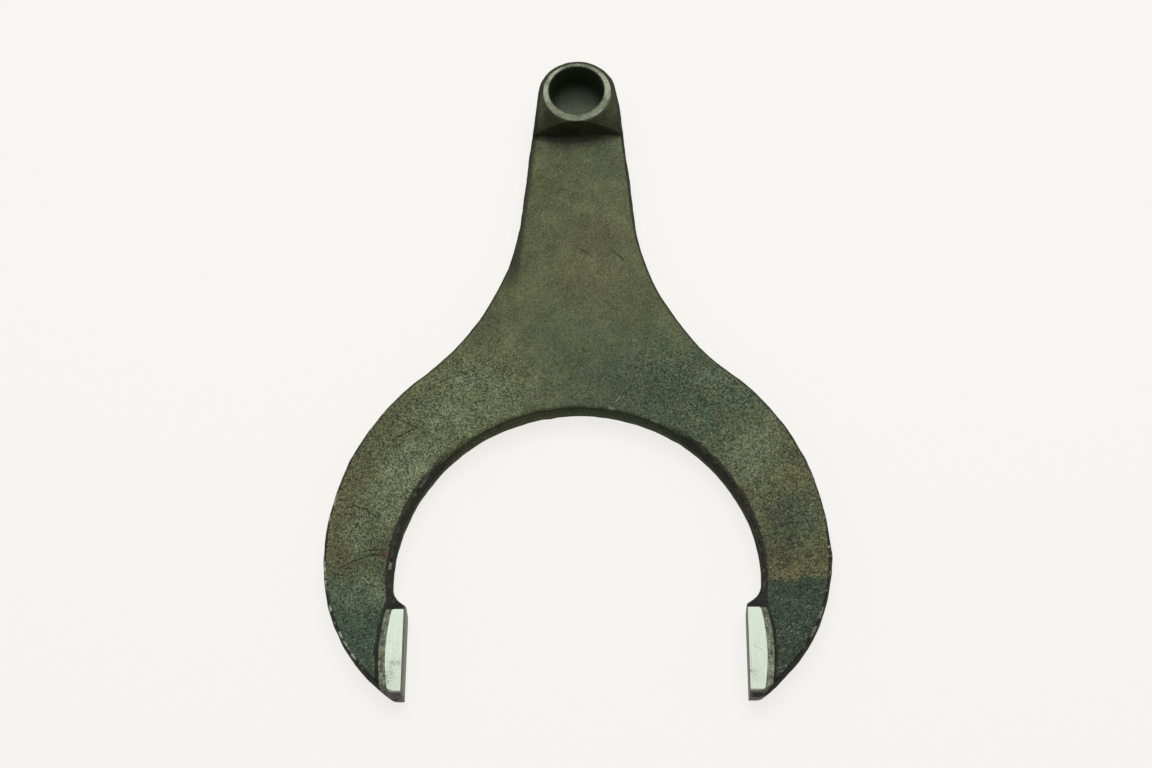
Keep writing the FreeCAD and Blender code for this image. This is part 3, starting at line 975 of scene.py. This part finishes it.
# The forged skin: colours as they look, and places in millimetres on the front. A lap has its
# corners, its width and how far it wanders, and a scratch its ends and its width
forgedLook = {
    "deepOlive": colour(72, 76, 46),
    "paleOlive": colour(92, 97, 64),
    "paleScale": colour(108, 118, 88),
    "tealGrey": colour(60, 74, 54),
    "rightTip": colour(49, 62, 45),
    "leftTip": colour(58, 74, 56),
    "temperBrown": colour(84, 80, 51),
    "strawSpot": colour(94, 92, 55),
    "endSteel": colour(170, 181, 160),
    # near black: dark scale in laps and cracks, and also painted shade on the walls, the boss and beside the
    # pads' feet
    "darkScaleAndShade": colour(19, 20, 12),
    "speck": colour(170, 178, 150),
    "wear": colour(176, 182, 160),
    "redRust": colour(92, 46, 30),
    "armAcross": (10, 32),                      # where the arms' stronger grain sets in
    "armAlong": (-85, -115),
    "leftTipLine": (-177.0, -193.0),
    "leftRagged": 10.0,
    "rightTipLine": (-188.4, -190.0),
    "rightRagged": 2.2,
    "rightSlope": 0.06,
    "frontLevel": 10.2,                         # laps and scratches lie above it
    "landLevel": (6.2, 7.4),                    # the walls' dark scale and painted shade are lighter below and darker above
    "bossLevel": (11.2, 12.2),
    # Painted shade: a band beside the throat's rim, a line under the crown's rim, a band along the stem's
    # left side
    "throatCentre": (0.2, -183.55),
    "throatBand": (63.3, 62.8),                 # distances from that centre
    "throatBandLevel": (9.0, 10.0),
    "crownReach": (64.0, 62.5),
    "crownLeft": (-150, -132),                  # the crown's ends
    "crownRight": (-136, -127),
    "crownRim": (8.8, 9.6),
    "crownTop": (10.4, 9.2),
    "crownWall": (8.8, 5.0),
    "leftFlank": (-0.9945, 0.1045, 0),          # the normal of the stem's left side
    "flankBand": (12.2, 13.8),
    "flankAlong": (-80, -66),
    "tipEnd": (-221.7, -222.4),
    "padBow": (4.15, 209.55),                   # centre of the right pad's bow, with y turned up
    "padBowRadius": 60.0,
    "padStart": 193.2,
    "padSide": (50, 54),
    "footGap": (1.4, 0.7),                      # the width of the painted shade line beside a pad
    "wornGap": (3.5, 6.0),
    "wornAlong": (-150, -200),
    "laps": [
        ([(-62.7, -125.2), (-57.0, -128.4), (-54.5, -129.4), (-61.0, -133.0)], 0.36, 1.3),
        ([(-77.0, -158.8), (-74.4, -157.9), (-70.6, -159.2), (-67.1, -161.6)], 0.42, 1.6),
        ([(-76.0, -161.0), (-69.4, -162.5)], 0.3, 2.4),
        ([(-72.4, -164.0), (-75.2, -167.6), (-75.2, -171.3)], 0.34, 1.0),
        ([(-68.3, -164.4), (-67.2, -166.9)], 0.34, 0.8),
        ([(-77.9, -179.7), (-72.4, -177.3), (-67.0, -175.2), (-63.3, -176.2)], 0.46, 1.0),
        ([(-77.9, -179.9), (-74.0, -180.2)], 0.3, 1.0),
        ([(-68.7, -173.8), (-62.6, -173.8)], 0.34, 1.0),
        ([(-73.3, -204.1), (-66.3, -202.7)], 0.3, 1.2),
        ([(44.4, -122.6), (49.8, -121.6)], 0.3, 1.0),
        ([(68.5, -166.6), (70.6, -165.1), (74.4, -165.3)], 0.34, 0.9),
        ([(-40.4, -108.7), (-37.9, -109.3)], 0.75, 0.8),
        ([(1.3, -61.1), (5.6, -64.4)], 0.35, 2.0),
        ([(12.3, -61.9), (16.9, -65.6)], 0.35, 2.4),
    ],
    "scratches": [((-70.2, -183.3), (-68.2, -185.3), 0.26), ((13.4, -120.7), (15.2, -118.6), 0.2)],
}


def heatColours(where, axes, patchy, ragged, isRight):
    # Olive scale with teal, brown and straw stains. The tips turn blue below a line that is sharp
    # on the right and soft and ragged on the left, and pale patches lie over all
    look = forgedLook
    base = blend(cloudMask(where, 55.0, 0.8), look["deepOlive"], look["paleOlive"])
    base = blend(times(maskOf(where, "teal"), ramp(patchy, 0.1, 0.6, 0.45, 1.0)), base, look["tealGrey"])
    base = blend(maskOf(where, "brown"), base, look["temperBrown"])
    base = blend(maskOf(where, "straw"), base, look["strawSpot"])
    rightY = plus(axes[1], times(ragged, look["rightRagged"] * mm))
    rightBlue = fade(minus(rightY, times(axes[0], look["rightSlope"])), look["rightTipLine"])
    leftBlue = fade(plus(axes[1], times(ragged, look["leftRagged"] * mm)), look["leftTipLine"])
    blue = blend(isRight, leftBlue, rightBlue)
    base = blend(blue, base, blend(isRight, look["leftTip"], look["rightTip"]))
    pale = times(maskOf(where, "pale"), ramp(patchy, 0.0, 0.8, 0.55, 1.0))
    return blend(pale, base, look["paleScale"])


def grained(where, axes, patchy, speckle, fine, base):
    # Grain darkens and lightens the colour, more on the arms than on the stem
    look = forgedLook
    onArm = times(fade(calc("ABSOLUTE", axes[0]), look["armAcross"], 0.35, 1.0),
                  fade(axes[1], look["armAlong"]))
    tone = times(spread(speckle["Grain"], 0.64, 1.34), spread(fine["Grain"], 0.74, 1.24),
                 spread(speckle["Grit"], 0.85, 1.15))
    tone = times(minus(tone, 1.0), spread(onArm, 0.95, 2.2))
    tone = largest(plus(tone, spread(patchy, 0.94, 1.16)), 0.12)
    toned = scaled(base, times(tone, minus(1.0, maskOf(where, "shade"))))
    base = blend(times(speckle["Sparkle"], spread(onArm, 0.22, 0.5)), toned, look["speck"])
    return blend(maskOf(where, "rust"), base, look["redRust"])


def wallScaleAndShade(where, axes, side, patchy, ragged, isRight):
    # The drafted walls and their rims are painted near black down to the trimmed land, partly as dark
    # scale and partly as painted shade, lighter below it and on the crown of the throat. Painted shade
    # also lies in bands beside the throat's rim and along the stem's left side, and under the crown's rim
    look = forgedLook
    toThroat = vectorCalc("DISTANCE", vectorCalc("MULTIPLY", where, (1, 1, 0)), spot(*look["throatCentre"]))
    throatEdgeShade = fade(plus(toThroat, times(ragged, 0.6 * mm)), look["throatBand"])
    throatEdgeShade = times(throatEdgeShade, fade(axes[2], look["throatBandLevel"]))
    flank = fade(vectorCalc("DOT_PRODUCT", where, look["leftFlank"]), look["flankBand"])
    flank = times(flank, fade(axes[1], look["flankAlong"], 0.0, 0.8), fade(axes[0], (0, -5)))
    scale = times(largest(ramp(side, 0.0, 0.45), throatEdgeShade, flank), spread(patchy, 0.86, 1.0),
                  fade(axes[2], look["landLevel"], 0.62, 0.97))
    underRimShade = times(ramp(side, 0.6, 1.0), fade(axes[2], look["crownRim"], 0.0, 0.7))
    lower = times(fade(axes[2], look["crownTop"]), fade(axes[2], look["crownWall"], 0.32, 0.08))
    top = blend(isRight, fade(axes[1], look["crownLeft"]), fade(axes[1], look["crownRight"]))
    crown = times(fade(toThroat, look["crownReach"]), top)
    return put("Mix", {0: crown, 2: scale, 3: largest(underRimShade, lower)}).outputs[0]


def bossScaleAndShade(where, axes):
    # The boss is painted dark all over, partly as dark scale and partly as painted shade, most of all in
    # the hollow of its near wall, and a soft painted shadow spreads from its foot, further on the left
    sides = largest(patchMask(where, (12.8, -7.0, 14.0), (2.2, 6.0, 1000), 0.5, 0.8),
                    patchMask(where, (-13.4, -7.0, 14.0), (2.0, 4.5, 1000), 0.5, 0.8))
    nearWallShade = patchMask(where, (-2.0, -14.8, 14.0), (10.8, 4.4, 7.4), 0.95, 0.35)
    foot = patchMask(where, (-3.0, -15.0, 11.0), (13.5, 2.6, 2.0), 0.45, 0.5)
    footShadow = patchMask(where, (-4.0, -16.5, 11.0), (12.5, 5.0, 2.0), 0.8, 0.5)
    onBoss = fade(axes[2], forgedLook["bossLevel"])
    return largest(times(onBoss, minus(0.74, times(sides, 0.32))), times(nearWallShade, 0.88),
                   times(foot, 0.85), times(footShadow, 0.45))


def forgedMaterial():
    look = forgedLook
    material, shader, where, axes = newMaterial("forgedSkin")
    side, edge = maskOf(where, "side"), maskOf(where, "edge")
    speckle = place(grain, where, Scale=1500.0, Sparkle=0.10)
    fine = place(grain, where, Scale=2500.0, Sparkle=0.02)
    patchy = cloudMask(where, 210.0, 1.0)
    ragged = minus(patchy, 0.5)
    isRight = calc("GREATER_THAN", axes[0], 0.0)
    base = heatColours(where, axes, patchy, ragged, isRight)
    base = grained(where, axes, patchy, speckle, fine, base)

    # Laps and cracks, and a few bright scratches
    onFront = calc("GREATER_THAN", axes[2], look["frontLevel"] * mm)
    network = place(cracks, where, Scale=330.0, Width=0.09, Share=0.45)["Mask"]
    marks = [lineMask(where, start, end, width, wander) for corners, width, wander in look["laps"]
             for start, end in zip(corners, corners[1:])]
    mark = times(largest(*marks, times(network, maskOf(where, "crack"))), onFront)
    base = blend(times(mark, 0.8), base, look["darkScaleAndShade"])
    scratched = largest(*[lineMask(where, *scratch, 0.6) for scratch in look["scratches"]])
    base = blend(times(scratched, onFront, 0.6), base, look["speck"])

    # Dark scale and painted shade on the walls and rims
    base = blend(wallScaleAndShade(where, axes, side, patchy, ragged, isRight), base, look["darkScaleAndShade"])
    ending = times(fade(axes[1], look["tipEnd"]), spread(isRight, 0.12, 0.6))
    base = blend(ending, base, look["endSteel"])

    # Painted shade, with some dark scale, in the corner at the foot of each pad
    outwards = vectorCalc("ABSOLUTE", vectorCalc("MULTIPLY", where, (1, 1, 0)))
    toBow = minus(vectorCalc("DISTANCE", outwards, spot(*look["padBow"])), look["padBowRadius"] * mm)
    gap = plus(largest(toBow, plus(axes[1], look["padStart"] * mm)), times(ragged, 0.6 * mm))
    onArm = fade(put("SeparateXYZ", {0: outwards}).outputs[0], look["padSide"])
    base = blend(times(fade(gap, look["footGap"]), onArm, 0.93), base, look["darkScaleAndShade"])
    # Dark scale and painted shade on the boss, and its painted shadow on the plate
    base = blend(bossScaleAndShade(where, axes), base, look["darkScaleAndShade"])

    # Bare steel where the rims have been knocked
    knocked = times(ramp(cloudMask(where, 320.0, 1.6), 0.55, 0.9), ramp(edge, 0.35, 0.9))
    share = largest(maskOf(where, "worn"), fade(axes[1], look["wornAlong"], 0.05, 0.14))
    base = blend(times(knocked, share, fade(gap, look["wornGap"])), base, look["wear"])

    rough = largest(spread(speckle["Grain"], 0.66, 0.46), times(side, 0.8))
    height = minus(plus(times(speckle["Grain"], 0.5), times(fine["Grain"], 0.5)), times(mark, 1.5))
    finishOff(shader, base, rough, 0.0, height, 0.55, 0.12 * mm)
    feed(shader, {"Specular IOR Level": 0.22})
    return material


# The pads: milled flats, the rough strip beside each, and the inner faces. A scuff has its centre,
# half size and strength, a scratch its ends and width, a worn corner its place and way outward
padLook = {
    "milled": colour(214, 224, 204),
    "milledDull": colour(194, 205, 184),
    "milledCool": colour(200, 220, 202),
    "scuff": colour(104, 110, 90),
    "lip": colour(74, 58, 42),
    "scratch": colour(236, 243, 230),
    "wallLight": colour(116, 123, 106),
    "wallDark": colour(42, 46, 32),
    "strip": colour(134, 141, 118),
    "stripDark": colour(66, 70, 54),
    # painted shade at the strip's foot and along its start line, with some dark scale
    "foot": colour(20, 22, 14),
    "speck": colour(226, 230, 210),
    "middle": (-10, 10),                        # from the left pad to the right one
    "stripPaler": (-198, -220),
    "stripTop": (-204, -197),
    "footLevel": (11.85, 11.5),
    "footStart": (-195.0, -194.6),
    "coolPart": (-206, -196),
    "lipEnd": (-221.9, -222.3),
    "cornerEdge": (-0.1, 0.2),
    "wallDarkLevel": (9.2, 5.8),
    "wallEnd": (-219.0, -222.5),
    "scuffs": [((56.7, -216.4), (1.3, 0.7), 0.6), ((-58.2, -213.0), (2.0, 0.9), 0.4),
               ((-59.8, -217.8), (1.5, 3.2), 0.45), ((-58.6, -216.5), (2.6, 5.5), 0.16),
               ((58.0, -217.0), (2.2, 4.0), 0.12)],
    "darkScratches": [((57.5, -207.7), (60.5, -209.5), 0.14), ((56.4, -211.0), (56.7, -215.8), 0.12),
                      ((57.0, -218.4), (58.0, -217.0), 0.12), ((-60.2, -214.8), (-57.4, -212.4), 0.12)],
    "lightScratches": [((-60.4, -216.2), (-58.9, -218.6), 0.16), ((-59.9, -218.4), (-58.4, -220.6), 0.16),
                       ((-60.2, -208.6), (-58.0, -210.2), 0.12)],
    "wornCorners": [((-60.9, -220.6), (-0.6, -0.8)), ((56.1, -223.8), (0.37, -0.93))],
}


def stripFinish(where, axes):
    # Cloudy dark and pale metal, paler towards the tip's end, under a bright speckle
    look = padLook
    speckle = place(grain, where, Scale=1500.0, Sparkle=0.12)
    base = blend(cloudMask(where, 420.0, 1.3), look["stripDark"], look["strip"])
    topLeft = times(fade(axes[0], (0, -10)), fade(axes[1], look["stripTop"], 0.0, 0.35))
    paler = plus(fade(axes[1], look["stripPaler"], 0.86, 1.3), topLeft)
    toned = scaled(base, times(spread(speckle["Grain"], 0.66, 1.4), paler))
    return blend(times(speckle["Sparkle"], 0.7), toned, look["speck"]), speckle["Grain"]


def stripMaterial():
    material, shader, where, axes = newMaterial("padStrip")
    base, grit = stripFinish(where, axes)
    # The strip is painted near black at its foot and along its start line: painted shade in the corner and
    # under the step
    footShade = largest(fade(axes[2], padLook["footLevel"]), fade(axes[1], padLook["footStart"]))
    finishOff(shader, blend(footShade, base, padLook["foot"]), 0.5, 0.3, grit, 0.6, 0.12 * mm)
    return material


def flatMaterial():
    # Pale milled metal with faint cutter lines, scuffed below, and worn off at the outer lower corners
    look = padLook
    material, shader, where, axes = newMaterial("milledFlat")
    stretched = put("Mapping", {"Vector": where, "Scale": (1.0, 0.05, 1.0)}).outputs[0]
    lines = noise(stretched, 2600.0, 3.0)
    patches = cloudMask(where, 500.0, 1.2)
    share = times(plus(ramp(lines, 0.35, 0.65), patches), 0.5)
    base = blend(share, look["milledDull"], look["milled"])
    base = blend(fade(axes[1], look["coolPart"], 0.0, 0.7), base, look["milledCool"])
    base = blend(fade(axes[0], look["middle"], 0.0, 0.5), base, look["milledDull"])
    for key, finish, strength in (("darkScratches", "scuff", 0.75), ("lightScratches", "scratch", 0.8)):
        for scratch in look[key]:
            base = blend(times(lineMask(where, *scratch, 0.4), strength), base, look[finish])
    smudges = ramp(cloudMask(where, 1100.0, 1.6), 0.2, 0.7, 0.4, 1.3)
    scuffs = largest(*[times(patchMask(where, centre, (*half, 1000), 0.5, 1.6), strength)
                       for centre, half, strength in look["scuffs"]])
    base = blend(times(scuffs, smudges), base, look["scuff"])
    base = blend(fade(axes[1], look["lipEnd"], 0.0, 0.8), base, look["lip"])
    rough, _ = stripFinish(where, axes)
    for corner, outward in look["wornCorners"]:
        offset = vectorCalc("MULTIPLY", vectorCalc("SUBTRACT", where, spot(*corner)), (1, 1, 0))
        onSide = calc("GREATER_THAN", times(axes[0], math.copysign(1, corner[0])), 0.0)
        past = plus(vectorCalc("DOT_PRODUCT", offset, (*outward, 0)), times(minus(patches, 0.5), 0.8 * mm))
        base = blend(times(fade(past, look["cornerEdge"]), onSide), base, rough)
    finishOff(shader, base, 0.5, 0.15, lines, 0.3, 0.04 * mm)
    return material


def milledWallMaterial():
    # The inner faces of the tips: pale at the bottom, darker along the top and at the tip's end
    look = padLook
    material, shader, where, axes = newMaterial("milledWall")
    level = plus(axes[2], times(minus(cloudMask(where, 500.0, 1.2), 0.5), 3.0 * mm))
    level = plus(level, fade(axes[1], look["wallEnd"], 0.0, 6.0 * mm))
    share = times(fade(level, look["wallDarkLevel"]), fade(axes[0], look["middle"], 1.0, 0.45))
    finishOff(shader, blend(share, look["wallDark"], look["wallLight"]), 0.5, 0.15)
    feed(shader, {"Specular IOR Level": 0.3})
    return material


# The machined hub: a turned ring with painted highlights, and a bore painted dark as shade with a paler
# dull floor, painted darker on its far side as the wall's shadow
hubLook = {
    "ringDark": colour(76, 82, 62),
    "ringPale": colour(122, 129, 103),
    "ringHighlight": colour(160, 168, 146),
    "highlightPatches": [((10.6, 3.5), (3.0, 6.5)), ((-8.5, 7.5), (3.5, 3.0)), ((-11.0, -1.0), (1.2, 3.0))],
    "lowerRing": (-3, -10),
    "boreWall": colour(44, 53, 32),
    "floorFar": colour(50, 55, 36),
    "floorNear": colour(76, 82, 56),
    "floorShade": (3, -5),
    "floorEdge": (7.2, 6.2),
    "floorLevel": (8.5, 7.5),
}


def ringMaterial():
    look = hubLook
    material, shader, where, axes = newMaterial("turnedRing")
    speckle = place(grain, where, Scale=1800.0, Sparkle=0.08)
    base = blend(cloudMask(where, 260.0, 1.0), look["ringDark"], look["ringPale"])
    # Painted highlights on the turned ring
    bright = largest(*[patchMask(where, (*centre, bossShape["top"]), (*half, 1000), 0.5, 1.2, 420.0)
                       for centre, half in look["highlightPatches"]])
    base = blend(times(bright, 0.45), base, look["ringHighlight"])
    tone = times(spread(speckle["Grain"], 0.6, 1.42), fade(axes[1], look["lowerRing"], 1.0, 0.86))
    finishOff(shader, scaled(base, tone), 0.42, 0.5, speckle["Grain"], 0.5, 0.1 * mm)
    return material


def boreMaterial():
    look = hubLook
    material, shader, where, axes = newMaterial("boreWall")
    speckle = place(grain, where, Scale=1500.0, Sparkle=0.02)
    radius = vectorCalc("LENGTH", vectorCalc("MULTIPLY", where, (1, 1, 0)))
    # The wall's dark colour is painted shade, and the floor is painted darker towards its far side as the
    # wall's shadow
    onFloor = times(fade(radius, look["floorEdge"]), fade(axes[2], look["floorLevel"]))
    floor = blend(fade(axes[1], look["floorShade"]), look["floorFar"], look["floorNear"])
    stretched = put("Mapping", {"Vector": where, "Scale": (1.0, 0.15, 1.0)}).outputs[0]
    streaks = ramp(noise(stretched, 1600.0, 2.0), 0.35, 0.65, 0.85, 1.15)
    base = scaled(blend(onFloor, look["boreWall"], floor), times(spread(speckle["Grain"], 0.8, 1.2), streaks))
    finishOff(shader, base, 0.65, 0.0, speckle["Grain"], 0.3, 0.06 * mm)
    return material


# In the order of the slots' numbers
for makeMaterial in (forgedMaterial, stripMaterial, flatMaterial, ringMaterial, boreMaterial,
                     milledWallMaterial):
    mesh.materials.append(makeMaterial())

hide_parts("lock_fork")
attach(fork, "root")


# A pale table. What the camera and reflections see of it is paler than what it throws back
tableLook = {
    "seen": (0.94, 0.922, 0.888, 1.0),
    "ownGlow": 0.86,               # how much of what the camera sees is free of light and shadow
    "thrown": (0.42, 0.42, 0.38, 1.0),
    "halfWidth": 3.0,
    "gap": 0.00005,
}


def tableMaterial():
    material = bpy.data.materials.new("paleTable")
    material.use_nodes = True
    tree = material.node_tree
    tree.nodes.clear()
    rays = put("LightPath", tree=tree).outputs
    direct = largest(rays["Is Camera Ray"], rays["Is Glossy Ray"], rays["Is Transmission Ray"])
    seen = put("BsdfDiffuse", {"Color": tableLook["seen"]}, tree).outputs[0]
    thrown = put("BsdfDiffuse", {"Color": tableLook["thrown"]}, tree).outputs[0]
    glow = put("Emission", {"Color": tableLook["seen"], "Strength": 1.0}, tree).outputs[0]
    pale = put("MixShader", {0: tableLook["ownGlow"], 1: seen, 2: glow}).outputs[0]
    mixed = put("MixShader", {0: direct, 1: thrown, 2: pale}).outputs[0]
    put("OutputMaterial", {"Surface": mixed})
    return material


print("setting the view")
reach, below = tableLook["halfWidth"], -tableLook["gap"]
tableMesh = bpy.data.meshes.new("table")
tableMesh.from_pydata([(-reach, -reach, below), (reach, -reach, below), (reach, reach, below),
                       (-reach, reach, below)], [], [(0, 1, 2, 3)])
tableMesh.materials.append(tableMaterial())
table = bpy.data.objects.new("table", tableMesh)
bpy.context.collection.objects.link(table)


# Soft daylight from above and from behind the hub
lightRig = {
    "sky": 0.30,
    "panelPower": 17.5,
    "panelSize": (1.3, 0.9),
    "panelPlace": (0.05, 0.42, 1.35),
    "panelAim": (0.0, -0.12, 0.0),
}
world = bpy.data.worlds.new("softSky")
bpy.context.scene.world = world
world.use_nodes = True
feed(world.node_tree.nodes["Background"], {"Color": (1, 1, 1, 1), "Strength": lightRig["sky"]})

panelData = bpy.data.lights.new("skyPanel", "AREA")
panelData.energy = lightRig["panelPower"]
panelData.shape = "RECTANGLE"
panelData.size, panelData.size_y = lightRig["panelSize"]
panel = bpy.data.objects.new("skyPanel", panelData)
panel.location = lightRig["panelPlace"]
panel.rotation_euler = (Vector(lightRig["panelAim"]) - panel.location).to_track_quat("-Z", "Y").to_euler()
bpy.context.collection.objects.link(panel)


# The photograph's view: tilted off the vertical from the tips' side, and turned a little to the right
cameraView = {
    "target": (-0.42, -108.74, 0.0),
    "tilt": 24.8,
    "azimuth": 4.0,
    "roll": -4.2,
    "distance": 680.0,
    "lens": 60.71,
}
cameraData = bpy.data.cameras.new("camera")
camera = bpy.data.objects.new("camera", cameraData)
turn = Matrix.Rotation(math.radians(cameraView["azimuth"]), 4, "Z")
lean = Matrix.Rotation(math.radians(cameraView["tilt"]), 4, "X")
roll = Matrix.Rotation(math.radians(cameraView["roll"]), 4, "Z")
away = Matrix.Translation((0, 0, cameraView["distance"] * mm))
camera.matrix_world = Matrix.Translation(Vector(cameraView["target"]) * mm) @ turn @ lean @ away @ roll
cameraData.sensor_width = 36
cameraData.lens = cameraView["lens"]
cameraData.clip_start = 0.01
bpy.context.collection.objects.link(camera)
bpy.context.scene.camera = camera
bpy.context.scene.view_settings.view_transform = "Standard"
